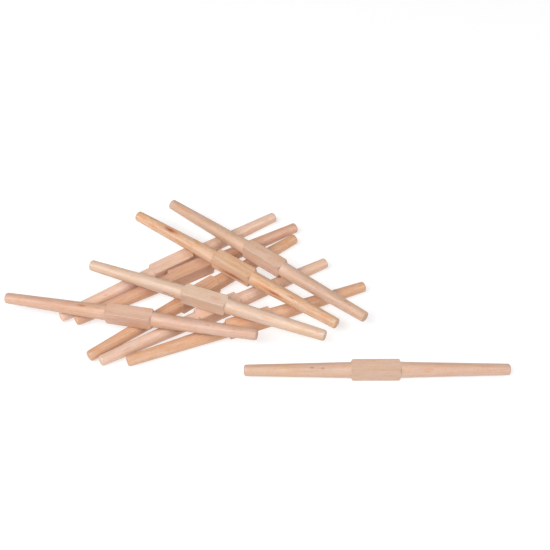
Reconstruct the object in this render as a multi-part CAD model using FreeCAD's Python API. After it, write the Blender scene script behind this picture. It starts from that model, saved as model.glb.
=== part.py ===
import FreeCAD, Part
import math
import os

# A set of ten wooden claves. Nine are heaped crosswise: five lie on the floor and four lie across
# them. The tenth lies on the floor in front of the heap. Each clave is one turned piece of wood
# with a square block in the middle, a shoulder at each end of the block and two tapered arms.
# Units are millimetres. Z = 0 is the floor. The origin is the middle of the set's footprint.

# One clave, with its length along X and its middle at the origin
block_side = 18.15
block_edge_radius = 1.2
root_radius = 8.95
tip_radius = 6.45
tip_rounding = 2.4
block_half_length = 28.0
shoulder_length = 2.0
turned_clear_of_corners = 0.1

half_side = block_side / 2
corner_reach = math.sqrt(2) * (half_side - block_edge_radius) + block_edge_radius
turning_radius = corner_reach + turned_clear_of_corners

# Each clave's length and how far its block sits from its middle, then how it lies: its middle in X
# and Y, and the heading of its length from +X in degrees. The claves are turned by hand, so their
# lengths and blocks differ by a few millimetres.
floor_layer = {
    "lower_clave_1": (300.5, 0.0, -101.3, 35.3, 33.5),
    "lower_clave_2": (300.5, 0.6, -78.6, 23.4, 30.4),
    "lower_clave_3": (300.0, 0.6, -68.3, -12.5, 38.0),
    "lower_clave_4": (300.5, 0.4, -42.9, -36.2, 30.0),
    "lower_clave_5": (296.5, 0.0, -5.2, -55.5, 22.2),
}
top_layer = {
    "upper_clave_1": (299.0, 1.2, 11.3, 31.0, -38.0),
    "upper_clave_2": (297.5, 1.6, -25.8, 14.9, -35.2),
    "upper_clave_3": (299.0, 1.0, -57.5, -35.6, -21.4),
    "upper_clave_4": (302.5, 0.6, -143.2, -59.5, -11.8),
}
front_clave = (298.5, -1.4, 139.1, -123.3, 0.25)

# Free height left where an upper clave rests on a lower one
rest_gap = 0.6


def point(x, y, z):
    return FreeCAD.Vector(x, y, z)


def eased_square_bar(length):
    """The square stock, as long as the clave, with its four long edges rounded."""
    corner = point(-length / 2, -half_side, -half_side)
    bar = Part.makeBox(length, block_side, block_side, corner)
    long_edges = [edge for edge in bar.Edges if abs(edge.Length - length) < 1e-6]
    return bar.makeFillet(block_edge_radius, long_edges)


def turned_envelope(length, block_offset):
    """What the lathe leaves: full size at the block, then shoulders, tapered arms and round tips."""
    half_length = length / 2
    plateau = block_half_length - shoulder_length
    taper_end = half_length - tip_rounding
    slant = tip_rounding * math.sqrt(0.5)
    edges = []
    for side in (-1, 1):
        outline = [
            point(block_offset, 0, turning_radius),
            point(block_offset + side * plateau, 0, turning_radius),
            point(block_offset + side * block_half_length, 0, root_radius),
            point(side * taper_end, 0, tip_radius),
        ]
        tip_middle = point(side * (taper_end + slant), 0, tip_radius - tip_rounding + slant)
        tip_edge = point(side * half_length, 0, tip_radius - tip_rounding)
        tip_centre = point(side * half_length, 0, 0)
        edges += [Part.makeLine(a, b) for a, b in zip(outline, outline[1:])]
        edges.append(Part.Arc(outline[-1], tip_middle, tip_edge).toShape())
        edges.append(Part.makeLine(tip_edge, tip_centre))
    edges.append(Part.makeLine(point(-half_length, 0, 0), point(half_length, 0, 0)))
    profile = Part.Face(Part.Wire(Part.__sortEdges__(edges)))
    return profile.revolve(point(0, 0, 0), point(1, 0, 0), 360)


def make_clave(length, block_offset):
    """One clave: where the square stock and the lathe's envelope meet."""
    return turned_envelope(length, block_offset).common(eased_square_bar(length)).Solids[0]


def half_thickness(lie, distance):
    """Half of a clave's height at a distance along it from its middle."""
    length, block_offset = lie[:2]
    side = math.copysign(1, distance - block_offset)
    beyond = abs(distance - block_offset) - block_half_length
    if beyond <= 0:
        return half_side
    arm_length = length / 2 - side * block_offset - block_half_length - tip_rounding
    return root_radius - (root_radius - tip_radius) * beyond / arm_length


def crossing(upper, lower):
    """Where two claves cross in plan, as distances along each from its own middle."""
    upper_x, upper_y, upper_heading = upper[2:]
    lower_x, lower_y, lower_heading = lower[2:]
    a = math.radians(upper_heading)
    b = math.radians(lower_heading)
    dx = lower_x - upper_x
    dy = lower_y - upper_y
    turn = math.sin(b - a)
    along_upper = (dx * math.sin(b) - dy * math.cos(b)) / turn
    along_lower = (dx * math.sin(a) - dy * math.cos(a)) / turn
    return along_upper, along_lower


def rest_on_floor_layer(upper):
    """The height and tilt at which an upper clave rests on one floor clave each side of its middle."""
    supports = []
    for lower in floor_layer.values():
        along, along_lower = crossing(upper, lower)
        thickness = half_thickness(upper, along) + half_thickness(lower, along_lower)
        supports.append((along, half_side + thickness))
    best_height = 0.0
    best_slope = 0.0
    for near, near_height in supports:
        for far, far_height in supports:
            if near < 0 < far:
                slope = (far_height - near_height) / (far - near)
                height = near_height - slope * near
                if height > best_height:
                    best_height = height
                    best_slope = slope
    return best_height + rest_gap, math.degrees(math.atan(best_slope))


def laid(lie, height, tilt):
    """A clave at its place; a positive tilt raises its +X end."""
    length, block_offset, x, y, heading = lie
    clave = make_clave(length, block_offset)
    clave.Placement = FreeCAD.Placement(point(x, y, height), FreeCAD.Rotation(heading, -tilt, 0))
    return clave


def make_set():
    """Every clave by name, with the middle of the set's footprint at the origin."""
    claves = {name: laid(lie, half_side, 0) for name, lie in floor_layer.items()}
    claves["front_clave"] = laid(front_clave, half_side, 0)
    for name, lie in top_layer.items():
        height, tilt = rest_on_floor_layer(lie)
        claves[name] = laid(lie, height, tilt)
    box = Part.makeCompound(list(claves.values())).optimalBoundingBox(False)
    for shape in claves.values():
        shape.translate(point(-box.Center.x, -box.Center.y, 0))
    return claves


os.makedirs("parts", exist_ok=True)
for name, shape in make_set().items():
    shape.exportStep(os.path.join("parts", name + ".step"))
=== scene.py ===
import math

import bpy
import numpy as np
from mathutils import Matrix, Vector


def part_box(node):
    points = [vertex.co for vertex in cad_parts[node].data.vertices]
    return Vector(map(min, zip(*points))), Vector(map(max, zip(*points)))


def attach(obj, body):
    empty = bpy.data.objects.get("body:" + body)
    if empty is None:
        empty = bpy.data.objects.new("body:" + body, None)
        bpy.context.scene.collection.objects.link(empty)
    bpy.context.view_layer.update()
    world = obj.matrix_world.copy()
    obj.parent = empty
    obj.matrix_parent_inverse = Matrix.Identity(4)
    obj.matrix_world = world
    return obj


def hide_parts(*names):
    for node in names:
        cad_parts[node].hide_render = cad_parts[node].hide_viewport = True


# Ten turned claves. Each CAD stick is replaced by a finer mesh of the same size and place, made in
# the stick's own frame (length along X, middle at the origin), so that its wood is a solid
# pattern in the stick's own coordinates. Shapes are in metres. The wood is in millimetres.

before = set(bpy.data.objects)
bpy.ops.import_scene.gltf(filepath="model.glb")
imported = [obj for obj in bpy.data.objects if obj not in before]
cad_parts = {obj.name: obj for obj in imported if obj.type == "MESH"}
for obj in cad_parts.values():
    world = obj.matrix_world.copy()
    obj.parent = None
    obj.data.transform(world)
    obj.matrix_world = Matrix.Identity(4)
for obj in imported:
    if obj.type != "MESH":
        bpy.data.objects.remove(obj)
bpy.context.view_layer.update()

MM = 0.001
WHITE = (1.0, 1.0, 1.0, 1.0)

# The clave's section and outline
front_low, front_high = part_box("front_clave")
HALF_SIDE = (front_high.z - front_low.z) / 2
BLOCK_EDGE_RADIUS = 1.2 * MM
ROOT_RADIUS = 8.95 * MM
TIP_RADIUS = 6.45 * MM
TIP_ROUNDING = 2.4 * MM
BLOCK_HALF_LENGTH = 28.0 * MM
SHOULDER_LENGTH = 2.0 * MM
CORNER_CLEARANCE = 0.1 * MM
SHOULDER_BEVEL = 0.35 * MM
ROOT_FILLET = 0.5 * MM

# The square section's rounded corners, and the cone of the shoulders that comes down from them
CORNER_CENTRE = HALF_SIDE - BLOCK_EDGE_RADIUS
CORNER_REACH = math.sqrt(2) * CORNER_CENTRE + BLOCK_EDGE_RADIUS
CONE_SLOPE = (CORNER_REACH + CORNER_CLEARANCE - ROOT_RADIUS) / SHOULDER_LENGTH
MOST_OF_CONE_BENT = 0.45

# How finely it is cut
FLAT_STEPS = 14
CORNER_STEPS = 5
BLOCK_ROWS = 6
BEND_STEPS = 4
CONE_ROWS = 3
ARM_ROWS = 26
TIP_STEPS = 7
END_FACE_ROWS = 3


def middle_and_length_axis(corners):
    """The centre of a closed mesh's volume and the direction it is longest in, from its triangles."""
    volumes = np.einsum("ij,ij->i", corners[:, 0], np.cross(corners[:, 1], corners[:, 2])) / 6
    sums = corners.sum(axis=1)
    middle = (volumes @ sums) / (4 * volumes.sum())
    products = np.einsum("n,nki,nkj->ij", volumes, corners, corners)
    products += np.einsum("n,ni,nj->ij", volumes, sums, sums)
    moments = products / 20 - volumes.sum() * np.outer(middle, middle)
    along = Vector(np.linalg.eigh(moments)[1][:, 2])
    if along.x < 0:
        along = -along
    return middle, along


def measure_stick(node):
    """A CAD stick's own frame, half its length, and how far its block sits from its middle."""
    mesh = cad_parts[node].data
    mesh.calc_loop_triangles()
    points = np.array([v.co for v in mesh.vertices])
    corners = points[np.array([t.vertices for t in mesh.loop_triangles])]
    middle, along = middle_and_length_axis(corners)
    side = Vector((0, 0, 1)).cross(along).normalized()
    up = along.cross(side)
    basis = Matrix((along, side, up)).transposed().to_4x4()
    place = Matrix.Translation(middle) @ basis
    own = np.array([place.inverted() @ Vector(p) for p in points])
    start, end = own[:, 0].min(), own[:, 0].max()
    centre = (start + end) / 2
    block = own[np.hypot(own[:, 1], own[:, 2]) > ROOT_RADIUS + CORNER_CLEARANCE, 0]
    block_offset = (block.min() + block.max()) / 2 - centre
    return place @ Matrix.Translation((centre, 0, 0)), (end - start) / 2, block_offset


def block_section():
    """(angle, radius) of points round the eased square section, once round."""
    quarter = []
    for i in range(FLAT_STEPS):
        across = CORNER_CENTRE * (2 * i / FLAT_STEPS - 1)
        quarter.append((HALF_SIDE, across))
    for i in range(CORNER_STEPS):
        turn = math.pi / 2 * i / CORNER_STEPS
        quarter.append((
            CORNER_CENTRE + BLOCK_EDGE_RADIUS * math.cos(turn),
            CORNER_CENTRE + BLOCK_EDGE_RADIUS * math.sin(turn),
        ))
    section = []
    for corner in range(4):
        for y, z in quarter:
            section.append((math.atan2(z, y) + corner * math.pi / 2, math.hypot(y, z)))
    return section


def bend(before, corner, after, steps):
    """Points of a small rounded corner."""
    points = []
    for i in range(steps + 1):
        t = i / steps
        points.append(before * (1 - t) ** 2 + corner * 2 * t * (1 - t) + after * t ** 2)
    return points


def half_outline(block_radius, half_length, block_end):
    """(x, radius) from the clave's middle to the tip, where the block is that far out."""
    cone_length = math.hypot(1, CONE_SLOPE) * (block_radius - ROOT_RADIUS) / CONE_SLOPE
    cone = Vector((1, -CONE_SLOPE)).normalized()
    arm_end = Vector((half_length - TIP_ROUNDING, TIP_RADIUS))
    root = Vector((block_end, ROOT_RADIUS))
    arm = (arm_end - root).normalized()
    edge = root - cone * cone_length
    bevel = min(SHOULDER_BEVEL, cone_length * MOST_OF_CONE_BENT)
    fillet = min(ROOT_FILLET, cone_length * MOST_OF_CONE_BENT)

    points = []
    flat_end = block_end - SHOULDER_LENGTH - 2 * SHOULDER_BEVEL
    for i in range(BLOCK_ROWS):
        points.append(Vector((flat_end * i / (BLOCK_ROWS - 1), block_radius)))
    points += bend(edge - Vector((bevel, 0)), edge, edge + cone * bevel, BEND_STEPS)
    cone_start, cone_end = points[-1], root - cone * fillet
    for i in range(1, CONE_ROWS + 1):
        points.append(cone_start.lerp(cone_end, i / (CONE_ROWS + 1)))
    points += bend(cone_end, root, root + arm * fillet, BEND_STEPS)
    arm_start = points[-1]
    for i in range(1, ARM_ROWS + 1):
        points.append(arm_start.lerp(arm_end, i / ARM_ROWS))
    for i in range(1, TIP_STEPS + 1):
        turn = math.pi / 2 * i / TIP_STEPS
        points.append(arm_end + TIP_ROUNDING * Vector((math.sin(turn), math.cos(turn) - 1)))
    rim = points[-1]
    for i in range(1, END_FACE_ROWS + 1):
        points.append(Vector((rim.x, rim.y * (1 - i / (END_FACE_ROWS + 1)))))
    return points


def end_grain_shown(outline, row):
    """How much of the end grain the surface shows there: 0 along the stick, 1 square across it."""
    before = outline[max(row - 1, 0)]
    after = outline[min(row + 1, len(outline) - 1)]
    step = after - before
    return abs(step.y) / step.length


def skin_faces(rows, count):
    """Faces of a closed skin: rings of count points, then the middle of each end as two points."""
    faces = []
    for row in range(rows - 1):
        for i in range(count):
            j = (i + 1) % count
            a, b = row * count, (row + 1) * count
            faces.append((a + i, a + j, b + j, b + i))
    first, last = rows * count, rows * count + 1
    last_ring = (rows - 1) * count
    for i in range(count):
        j = (i + 1) % count
        faces.append((first, j, i))
        faces.append((last, last_ring + i, last_ring + j))
    return faces


def clave_mesh(name, place, half_length, block_offset):
    """The whole clave as one closed skin of rings, with a point at the middle of each end.

    Its points keep their place in the stick's own frame, and the end grain that they show, as
    attributes for the wood.
    """
    columns = []
    for angle, block_radius in block_section():
        left = half_outline(block_radius, half_length, BLOCK_HALF_LENGTH - block_offset)
        right = half_outline(block_radius, half_length, BLOCK_HALF_LENGTH + block_offset)
        whole = [Vector((-p.x, p.y)) for p in reversed(left[1:])] + right
        columns.append((math.cos(angle), math.sin(angle), whole))
    rows = len(columns[0][2])
    vertices = []
    grain = []
    for row in range(rows):
        for cosine, sine, outline in columns:
            x, radius = outline[row]
            vertices.append((x, radius * cosine, radius * sine))
            grain.append(end_grain_shown(outline, row))
    vertices += [(-half_length, 0, 0), (half_length, 0, 0)]
    grain += [1.0, 1.0]
    mesh = bpy.data.meshes.new(name)
    mesh.from_pydata(vertices, [], skin_faces(rows, len(columns)))
    stick = mesh.attributes.new("stick", "FLOAT_VECTOR", "POINT")
    stick.data.foreach_set("vector", [value for vertex in vertices for value in vertex])
    mesh.attributes.new("end_grain", "FLOAT", "POINT").data.foreach_set("value", grain)
    mesh.transform(place)
    mesh.shade_smooth()
    return mesh


class Nodes:
    """Short ways to add and join shader nodes."""

    def __init__(self, material):
        material.use_nodes = True
        self.tree = material.node_tree
        self.tree.nodes.clear()

    def add(self, kind, inputs=None, **settings):
        node = self.tree.nodes.new(kind)
        for key, value in settings.items():
            setattr(node, key, value)
        for key, value in (inputs or {}).items():
            self.put(node.inputs[key], value)
        return node

    def put(self, socket, value):
        if isinstance(value, bpy.types.NodeSocket):
            self.tree.links.new(value, socket)
        else:
            socket.default_value = value

    def math(self, operation, a, b=0.0, c=0.0):
        return self.add("ShaderNodeMath", {0: a, 1: b, 2: c}, operation=operation).outputs[0]

    def step(self, value, low, high, to_low=0.0, to_high=1.0):
        node = self.add(
            "ShaderNodeMapRange",
            {"Value": value, "From Min": low, "From Max": high, "To Min": to_low, "To Max": to_high},
            interpolation_type="SMOOTHSTEP",
        )
        return node.outputs[0]

    def length(self, vector):
        return self.add("ShaderNodeVectorMath", {0: vector}, operation="LENGTH").outputs["Value"]

    def scaled(self, vector, scale, offset=(0, 0, 0)):
        node = self.add("ShaderNodeMapping", {"Vector": vector, "Location": offset, "Scale": scale})
        return node.outputs[0]

    def noise(self, vector, detail=2.0, roughness=0.5):
        node = self.add(
            "ShaderNodeTexNoise",
            {"Vector": vector, "Scale": 1.0, "Detail": detail, "Roughness": roughness},
        )
        return node.outputs["Fac"]

    def tint(self, factor, base, colour):
        node = self.add("ShaderNodeMix", data_type="RGBA", blend_type="MIX")
        self.put(node.inputs["Factor"], factor)
        self.put(node.inputs["A"], base)
        self.put(node.inputs["B"], colour)
        return node.outputs["Result"]


def linear(red, green, blue):
    """A display colour from 0 to 255 as the linear colour that shaders take."""
    def channel(value):
        value = value / 255
        return value / 12.92 if value <= 0.04045 else ((value + 0.055) / 1.055) ** 2.4
    return channel(red), channel(green), channel(blue), 1.0


# What sets one clave's wood apart from the next: its colour, how the growth rings cross it (angle of
# the rings in degrees, their spacing in mm and how strongly they show), how strong the flecks and
# the blotches are, and its marks. A mark is its distance along the clave in mm, its angle round
# it in degrees (90 is the top and 180 the front), its length and width in mm, strength and colour.
# The small marks are the wood's own. The wide marks that cover the block's top or front face are
# painted light and shade: the pale ones paint that face lighter, and the tan and orange ones on the
# lower claves paint their front faces darker, as the shade of the claves around them. The long
# bands shift the tone of one arm, or darken the top of a whole clave.
WOOD = {
    "upper_clave_1": dict(
        colour=(205, 175, 155),
        rings=(70, 3.4, 0.5),
        fleck=0.6,
        blotch=0.6,
        marks=[
            # Painted light: the block's front face made paler
            (0, 180, 110, 26, 0.6, "pale"),
            (-55, 172, 12, 2.2, 0.45, "tan"),
            (120, 85, 4, 1.3, 0.8, "red"),
            (127, 100, 3.5, 1.2, 0.7, "red"),
            (-128, 110, 22, 4.0, 0.5, "orange"),
            (10, 195, 22, 5.0, 0.4, "rose"),
            (-100, 125, 16, 3.0, 0.3, "orange"),
        ],
    ),
    "upper_clave_2": dict(
        colour=(215, 180, 150),
        rings=(-50, 4.2, 1.0),
        fleck=0.9,
        blotch=1.0,
        marks=[
            # Painted light: the block's front face made paler
            (-6, 180, 100, 24, 0.42, "pale"),
            (-95, 99, 19, 4.6, 1.0, "red"),
            (-84, 103, 13, 2.4, 0.7, "orange"),
            (64, 152, 24, 3.6, 1.0, "red"),
            (52, 146, 30, 4.0, 0.7, "orange"),
            (7, 197, 40, 6.0, 0.95, "red"),
            (-18, 186, 20, 3.0, 0.7, "orange"),
            (14, 176, 22, 2.4, 0.5, "orange"),
            (-136, 122, 13, 4.0, 0.8, "orange"),
            (-118, 140, 14, 3.2, 0.7, "orange"),
            (-113, 105, 9, 2.2, 0.6, "orange"),
            (87, 111, 10, 2.6, 0.8, "tan"),
            (112, 128, 16, 2.6, 0.6, "orange"),
            (133, 118, 12, 3.0, 0.7, "orange"),
        ],
    ),
    "upper_clave_3": dict(
        colour=(215, 190, 170),
        rings=(20, 2.9, 0.4),
        fleck=0.6,
        blotch=0.5,
        marks=[
            # Painted light: the block's front face made paler
            (0, 180, 100, 24, 0.3, "pale"),
            (36, 170, 16, 2.4, 0.35, "orange"),
            (-46, 171, 9, 2.2, 0.7, "tan"),
            (-36, 173, 6, 1.8, 0.6, "tan"),
            (-25, 190, 8, 1.8, 0.5, "tan"),
            (78, 128, 16, 2.0, 0.55, "orange"),
            (141, 118, 6, 2.4, 0.5, "orange"),
            (15, 100, 12, 6.0, 0.45, "rose"),
        ],
    ),
    "upper_clave_4": dict(
        colour=(205, 170, 150),
        rings=(100, 3.2, 0.55),
        fleck=0.6,
        blotch=0.6,
        marks=[
            # Painted light: the block's top face made paler
            (0, 92, 100, 16.0, 0.3, "pale"),
            (-85, 120, 110, 12.0, 0.22, "tan"),
            (-56, 99, 11, 3.6, 1.0, "tan"),
            (33, 154, 12, 2.8, 0.2, "orange"),
            (12, 196, 26, 5.0, 0.5, "orange"),
            (-36, 102, 6, 1.6, 0.5, "tan"),
            (95, 105, 6, 1.8, 0.55, "tan"),
            (125, 107, 6, 1.6, 0.45, "tan"),
            (10, 110, 26, 1.6, 0.3, "rose"),
        ],
    ),
    "lower_clave_1": dict(
        colour=(225, 195, 175),
        rings=(35, 3.6, 0.5),
        fleck=0.5,
        blotch=0.5,
        marks=[
            # Painted shade: the block's front face made darker
            (0, 180, 100, 22, 0.2, "orange"),
            (-92, 120, 6, 1.8, 0.5, "tan"),
        ],
    ),
    "lower_clave_2": dict(
        colour=(210, 170, 145),
        rings=(85, 3.3, 0.6),
        fleck=0.6,
        blotch=0.6,
        marks=[
            # Painted shade: the block's front face made darker
            (0, 180, 100, 22, 0.3, "tan"),
            (-31, 110, 8, 2.0, 0.5, "tan"),
        ],
    ),
    "lower_clave_3": dict(
        colour=(210, 170, 140),
        rings=(5, 3.0, 0.7),
        fleck=0.7,
        blotch=0.8,
        marks=[
            # Painted shade: the block's front face made darker
            (0, 180, 100, 22, 0.5, "tan"),
            (-20, 80, 220, 14, 0.2, "tan"),
            (-138, 118, 12, 4.5, 0.6, "orange"),
        ],
    ),
    "lower_clave_4": dict(
        colour=(220, 190, 170),
        rings=(120, 3.5, 0.55),
        fleck=0.6,
        blotch=0.5,
        marks=[
            # Painted shade: the block's front face made darker
            (0, 180, 100, 22, 0.3, "orange"),
            (-118, 125, 18, 2.2, 0.4, "tan"),
        ],
    ),
    "lower_clave_5": dict(
        colour=(210, 170, 140),
        rings=(55, 2.8, 0.7),
        fleck=0.7,
        blotch=0.7,
        marks=[
            # Painted shade on the block's front face, and painted light on its top
            (0, 180, 100, 22, 0.35, "orange"),
            (0, 92, 90, 18.0, 0.3, "pale"),
            (-10, 95, 18, 2.8, 0.5, "orange"),
        ],
    ),
    "front_clave": dict(
        colour=(205, 175, 155),
        rings=(95, 3.1, 0.5),
        fleck=0.6,
        blotch=0.45,
        marks=[
            # Painted light: the block's top face made paler
            (-1, 92, 100, 18, 0.22, "pale"),
            (-73, 107, 4.6, 2.3, 1.0, "tan"),
            (-61, 113, 4.4, 2.2, 0.9, "tan"),
            (-49, 100, 8, 1.6, 0.55, "orange"),
            (-38, 96, 11, 1.6, 0.5, "orange"),
            (25, 138, 5, 1.6, 0.5, "tan"),
            (85, 120, 130, 14.0, 0.16, "orange"),
            (58, 118, 8, 1.8, 0.5, "orange"),
        ],
    ),
}
MARK_COLOURS = {
    "red": linear(158, 80, 44),
    "rose": linear(204, 138, 118),
    "orange": linear(214, 140, 88),
    "tan": linear(178, 122, 88),
    # Pale marks are painted light, each making a whole block face lighter
    "pale": linear(240, 202, 176),
}

# What each part of the pattern does to the clave's own colour, as factors on red, green and blue
TINTS = {
    "cool_drift": (1.0, 0.99, 1.04),
    "warm_drift": (1.01, 0.95, 0.87),
    "warm_blotch": (0.97, 0.78, 0.56),
    "pale_blotch": (1.10, 1.12, 1.14),
    "late_wood": (0.76, 0.60, 0.46),
    "dark_streak": (0.86, 0.73, 0.62),
    "pale_streak": (1.14, 1.17, 1.22),
    "fibre": (0.74, 0.60, 0.50),
    "ray": (0.62, 0.42, 0.30),
    "pore": (0.50, 0.38, 0.30),
    # Painted shade on the block's long edges
    "painted_edge_shade": (0.86, 0.82, 0.79),
    "end_grain": (0.76, 0.72, 0.72),
}

# How fine each noise is: cells per mm along the grain, across the growth rings and along them
CELLS = {
    "streaks": (1 / 55, 0.8, 0.8),
    "fibres": (1 / 12, 3.0, 3.0),
    "rays": (0.3, 1.1, 2.6),
    "pores": (0.6, 5.0, 5.0),
    "drift": (1 / 60, 1 / 14, 1 / 14),
    "blotch": (1 / 16, 1 / 3.5, 1 / 3.5),
    "ring_wander": (1 / 70, 1 / 22, 1 / 22),
    "ring_fade": (1 / 50, 1 / 5, 1 / 5),
    "gloss": (1 / 9, 0.8, 0.8),
    "ragged_marks": (0.35, 1.6, 1.6),
}

# How far the grain slopes to the stick, in degrees up and across
GRAIN_SLOPE = (0.6, 1.0)

# How far the pith is from the stick's middle, how far the rings wander, and the lathe's feed, in mm
PITH_DISTANCE = 45
RING_WANDER = 7.0
LATHE_FEED = 0.9

# How far a mark's edge strays, as a share of half its size
MARK_RAGGEDNESS = 1.6

# The length over which an arm tapers, near enough for placing marks
TAPER_LENGTH = 120.0 * MM


def toned(colour, factors):
    """The colour with each channel scaled."""
    return tuple(channel * factor for channel, factor in zip(colour, factors)) + (1.0,)


def noise_offset(index):
    """Where a clave is cut out of the noise, so that no two claves are alike."""
    return 37.0 * index, 61.0 * index, 113.0 * index


def surface_radius(along):
    """How far a clave's surface is from its middle line, at a distance along it in mm."""
    beyond_block = abs(along) * MM - BLOCK_HALF_LENGTH
    if beyond_block < 0:
        return HALF_SIDE / MM
    taper = (ROOT_RADIUS - TIP_RADIUS) / TAPER_LENGTH
    return (ROOT_RADIUS - taper * beyond_block) / MM


def growth_rings(n, turned, spacing, index):
    """Late wood, from 0 to 1: rings about a pith well outside the stick, wandering along it."""
    wander = n.noise(n.scaled(turned, CELLS["ring_wander"], noise_offset(index)))
    pith = (0, PITH_DISTANCE, 6 * index - 25)
    parts = n.add("ShaderNodeSeparateXYZ", {0: n.scaled(turned, (1, 1, 1), pith)})
    from_pith = n.math("SQRT", n.math(
        "ADD",
        n.math("POWER", parts.outputs["Y"], 2.0),
        n.math("POWER", parts.outputs["Z"], 2.0),
    ))
    place = n.math("MULTIPLY_ADD", wander, RING_WANDER, from_pith)
    phase = n.math("FRACT", n.math("DIVIDE", place, spacing))
    late = n.math("MULTIPLY", n.step(phase, 0.2, 0.92), n.step(phase, 1.0, 0.92))
    fade = n.noise(n.scaled(turned, CELLS["ring_fade"], (5, 9, 2 * index)))
    return n.math("MULTIPLY", late, n.step(fade, 0.3, 0.7, 0.3, 1.0))


class Grain:
    """The patterns of one clave's wood that its colour, gloss and relief share."""

    def __init__(self, n, look, index, block_offset):
        stick = n.add("ShaderNodeAttribute", attribute_name="stick").outputs["Vector"]
        end_grain = n.add("ShaderNodeAttribute", attribute_name="end_grain").outputs["Fac"]
        self.end_shown = n.step(end_grain, 0.35, 0.95)
        self.own = n.scaled(stick, (1 / MM, 1 / MM, 1 / MM))
        parts = n.add("ShaderNodeSeparateXYZ", {0: self.own})
        self.x, self.y, self.z = parts.outputs
        from_block = n.math("ABSOLUTE", n.math("SUBTRACT", self.x, block_offset / MM))
        self.on_arm = n.step(from_block, BLOCK_HALF_LENGTH / MM, BLOCK_HALF_LENGTH / MM + 2.0)

        # The same place, turned so that Y runs across the growth rings and Z along them. The small
        # turns are the grain's slope to the stick, which draws the rings out into long arches.
        ring_angle, ring_spacing, ring_strength = look["rings"]
        turns = [math.radians(angle) for angle in (ring_angle, *GRAIN_SLOPE)]
        turned = n.add("ShaderNodeMapping", {"Vector": self.own, "Rotation": turns}).outputs[0]
        seed = noise_offset(index)

        def pattern(name, detail, roughness=0.5):
            return n.noise(n.scaled(turned, CELLS[name], seed), detail, roughness)

        late_wood = growth_rings(n, turned, ring_spacing, index)
        self.late_wood = n.math("MULTIPLY", late_wood, 0.6 * ring_strength)

        # Fibres: long fine streaks in two sizes
        self.streaks = pattern("streaks", 4.0, 0.6)
        self.fibres = pattern("fibres", 3.0, 0.6)

        # Rays: short dark flecks, thin across and drawn out along the grain; and open pores
        self.rays = n.step(pattern("rays", 2.0), 0.57, 0.69)
        self.pores = n.step(pattern("pores", 1.0), 0.62, 0.78)

        # Warm and pale blotches, and a slower drift of the colour along the stick
        self.drift = pattern("drift", 2.0)
        self.blotch = pattern("blotch", 3.0, 0.6)

        self.gloss = pattern("gloss", 3.0)
        self.ragged = n.noise(n.scaled(self.own, CELLS["ragged_marks"], seed), 3.0, 0.6)


def add_marks(n, grain, colour, marks):
    """Knots, mineral streaks and wide patches of painted light and shade, drawn along the grain with
    ragged edges.
    """
    for along, angle, length, width, strength, kind in marks:
        radius = surface_radius(along)
        y = radius * math.cos(math.radians(angle))
        z = radius * math.sin(math.radians(angle))
        offset = n.add("ShaderNodeVectorMath", {0: grain.own, 1: (along, y, z)}, operation="SUBTRACT")
        shrunk = n.scaled(offset.outputs[0], (2 / length, 2 / width, 2 / width))
        distance = n.math("MULTIPLY_ADD", grain.ragged, MARK_RAGGEDNESS, n.length(shrunk))
        spot = n.step(distance, 2.3, 0.9, 0.0, strength)
        colour = n.tint(spot, colour, MARK_COLOURS[kind])
    return colour


def wood_colour(n, grain, look):
    """The colour, from slow drifts down to pores, then marks, wear and end grain."""
    base = linear(*look["colour"])

    def tinted(colour, name, strength):
        return n.tint(strength, colour, toned(base, TINTS[name]))

    warm = look["blotch"]
    colour = tinted(toned(base, TINTS["cool_drift"]), "warm_drift", n.step(grain.drift, 0.35, 0.65))
    colour = tinted(colour, "warm_blotch", n.step(grain.blotch, 0.48, 0.66, 0.0, warm))
    colour = tinted(colour, "pale_blotch", n.step(grain.blotch, 0.48, 0.3, 0.0, 0.6 * warm))
    colour = tinted(colour, "late_wood", grain.late_wood)
    colour = tinted(colour, "dark_streak", n.step(grain.streaks, 0.45, 0.72, 0.0, 0.5))
    colour = tinted(colour, "pale_streak", n.step(grain.streaks, 0.45, 0.25, 0.0, 0.5))
    colour = tinted(colour, "fibre", n.step(grain.fibres, 0.5, 0.8, 0.0, 0.35))
    colour = tinted(colour, "ray", n.math("MULTIPLY", grain.rays, 0.6 * look["fleck"]))
    colour = tinted(colour, "pore", n.math("MULTIPLY", grain.pores, 0.3))
    colour = add_marks(n, grain, colour, look["marks"])

    # Painted shade: the long edges of the block are made a little darker, against the light that
    # their rounding catches
    corner = n.math("MINIMUM", n.math("ABSOLUTE", grain.y), n.math("ABSOLUTE", grain.z))
    edge_shade_mask = n.math("MULTIPLY", n.step(corner, 7.3, 8.5), n.step(grain.blotch, 0.35, 0.65, 0.5, 0.9))
    colour = tinted(colour, "painted_edge_shade", edge_shade_mask)

    # End grain at the tips drinks more finish, so it is a little darker and greyer
    return tinted(colour, "end_grain", n.math("MULTIPLY", grain.end_shown, 0.6))


def satin_roughness(n, grain):
    """Sanded wood under a thin satin finish, shinier on the rays and duller on end grain."""
    rough = n.step(grain.gloss, 0.3, 0.7, 0.40, 0.55)
    rough = n.math("MULTIPLY_ADD", grain.rays, -0.06, rough)
    return n.math("MULTIPLY_ADD", grain.end_shown, 0.16, rough)


def fine_relief(n, grain):
    """Fibres, open pores, and the lathe's faint feed marks on the arms."""
    feed = n.math("SINE", n.math("MULTIPLY", grain.x, 2 * math.pi / LATHE_FEED))
    feed_strength = n.math("MULTIPLY", grain.on_arm, n.step(grain.drift, 0.3, 0.7, 0.1, 0.5))
    relief = n.math("MULTIPLY_ADD", grain.streaks, 0.8, grain.fibres)
    relief = n.math("MULTIPLY_ADD", grain.pores, -0.7, relief)
    relief = n.math("MULTIPLY_ADD", n.math("MULTIPLY", feed, feed_strength), 0.15, relief)
    bump = n.add("ShaderNodeBump", {"Height": relief, "Strength": 0.4, "Distance": 0.14 * MM})
    return bump.outputs[0]


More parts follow.
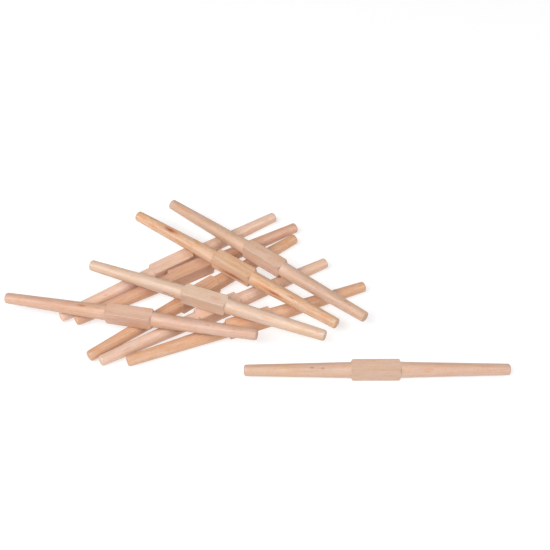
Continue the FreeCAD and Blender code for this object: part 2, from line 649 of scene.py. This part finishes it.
def beech(name, index, look, block_offset):
    """Beech for one clave, as a solid pattern in the clave's own coordinates."""
    material = bpy.data.materials.new(name)
    n = Nodes(material)
    grain = Grain(n, look, index, block_offset)
    shader = n.add(
        "ShaderNodeBsdfPrincipled",
        {
            "Base Color": wood_colour(n, grain, look),
            "Roughness": satin_roughness(n, grain),
            "Normal": fine_relief(n, grain),
            "IOR": 1.5,
            "Coat Weight": 0.08,
            "Coat Roughness": 0.32,
        },
    )
    n.add("ShaderNodeOutputMaterial", {"Surface": shader.outputs[0]})
    return material


def make_clave(node, index):
    """The detailed clave that stands for a CAD stick."""
    name = node + "_wood"
    place, half_length, block_offset = measure_stick(node)
    mesh = clave_mesh(node + "_turned", place, half_length, block_offset)
    piece = bpy.data.objects.new(node + "_turned", mesh)
    bpy.context.scene.collection.objects.link(piece)
    piece.data.materials.append(beech(name, index, WOOD[node], block_offset))
    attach(piece, node)
    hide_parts(node)


for number, clave in enumerate(WOOD, start=1):
    make_clave(clave, number)


# The studio: a floor that glows a little, and more where it is too far out for the lights to reach
FLOOR_SIZE = 60.0
FLOOR_GREY = 0.45
NEAR_GLOW = 0.60
FAR_GLOW = 0.90
FAR_GLOW_STARTS = 0.7
FAR_GLOW_FULL = 2.6

# The wall stands inside the floor's edge, near enough for a camera that sees 30 m
BACKDROP_RADIUS = 0.48 * FLOOR_SIZE
BACKDROP_HEIGHT = 3.75

PANEL_SIZE = 1.2
PANEL_DISTANCE = 2.5
WORLD_STRENGTH = 0.21


def make_floor():
    """A plain white floor."""
    bpy.ops.mesh.primitive_plane_add(size=FLOOR_SIZE, location=(0, 0, 0))
    floor = bpy.context.object
    floor.name = "floor"
    material = bpy.data.materials.new("floor_white")
    n = Nodes(material)
    distance = n.length(n.add("ShaderNodeNewGeometry").outputs["Position"])
    glow_strength = n.step(distance, FAR_GLOW_STARTS, FAR_GLOW_FULL, NEAR_GLOW, FAR_GLOW)
    diffuse = n.add("ShaderNodeBsdfDiffuse", {"Color": (FLOOR_GREY, FLOOR_GREY, FLOOR_GREY, 1.0)})
    glow = n.add("ShaderNodeEmission", {"Color": WHITE, "Strength": glow_strength})
    both = n.add("ShaderNodeAddShader", {0: diffuse.outputs[0], 1: glow.outputs[0]})
    n.add("ShaderNodeOutputMaterial", {"Surface": both.outputs[0]})
    floor.data.materials.append(material)


def make_backdrop():
    """A white wall round the floor's far edge, for views from near the floor."""
    bpy.ops.mesh.primitive_cylinder_add(
        vertices=96,
        radius=BACKDROP_RADIUS,
        depth=BACKDROP_HEIGHT,
        end_fill_type="NOTHING",
        location=(0, 0, BACKDROP_HEIGHT / 2),
    )
    backdrop = bpy.context.object
    backdrop.name = "backdrop"
    material = bpy.data.materials.new("backdrop_white")
    n = Nodes(material)
    glow = n.add("ShaderNodeEmission", {"Color": WHITE, "Strength": 1.0})
    n.add("ShaderNodeOutputMaterial", {"Surface": glow.outputs[0]})
    backdrop.data.materials.append(material)


def make_light(name, azimuth, elevation, power):
    """A soft panel that faces the claves, azimuth degrees right of the front and above the floor."""
    light = bpy.data.lights.new(name, "AREA")
    light.shape = "SQUARE"
    light.size = PANEL_SIZE
    light.energy = power
    panel = bpy.data.objects.new(name, light)
    turn, rise = math.radians(azimuth), math.radians(elevation)
    way = Vector((math.sin(turn) * math.cos(rise), -math.cos(turn) * math.cos(rise), math.sin(rise)))
    panel.location = way * PANEL_DISTANCE
    panel.rotation_euler = (-way).to_track_quat("-Z", "Y").to_euler()
    bpy.context.scene.collection.objects.link(panel)


def make_world():
    """A faint white light from all round."""
    world = bpy.data.worlds.new("studio")
    world.use_nodes = True
    background = world.node_tree.nodes["Background"]
    background.inputs["Color"].default_value = WHITE
    background.inputs["Strength"].default_value = WORLD_STRENGTH
    bpy.context.scene.world = world


make_floor()
make_backdrop()
make_light("key_panel", -35, 55, 38.0)
make_light("left_panel", -70, 35, 20.0)
make_light("right_panel", 70, 45, 24.0)
make_world()

# The camera: in front of the set and above it, aimed a little behind and right of its middle
CAMERA_ELEVATION = math.radians(48.5)
CAMERA_DISTANCE = 1.23
CAMERA_AIM = Vector((0.0265, 0.0294, 0.0))
CAMERA_LENS_MM = 65.6
CAMERA_SENSOR_MM = 36.0

camera_data = bpy.data.cameras.new("camera")
camera_data.lens = CAMERA_LENS_MM
camera_data.sensor_width = CAMERA_SENSOR_MM
camera = bpy.data.objects.new("camera", camera_data)
camera_way = Vector((0, -math.cos(CAMERA_ELEVATION), math.sin(CAMERA_ELEVATION)))
camera.location = CAMERA_AIM + CAMERA_DISTANCE * camera_way
camera.rotation_euler = (math.pi / 2 - CAMERA_ELEVATION, 0, 0)
bpy.context.scene.collection.objects.link(camera)
bpy.context.scene.camera = camera
bpy.context.scene.view_settings.view_transform = "Standard"

bpy.context.view_layer.update()
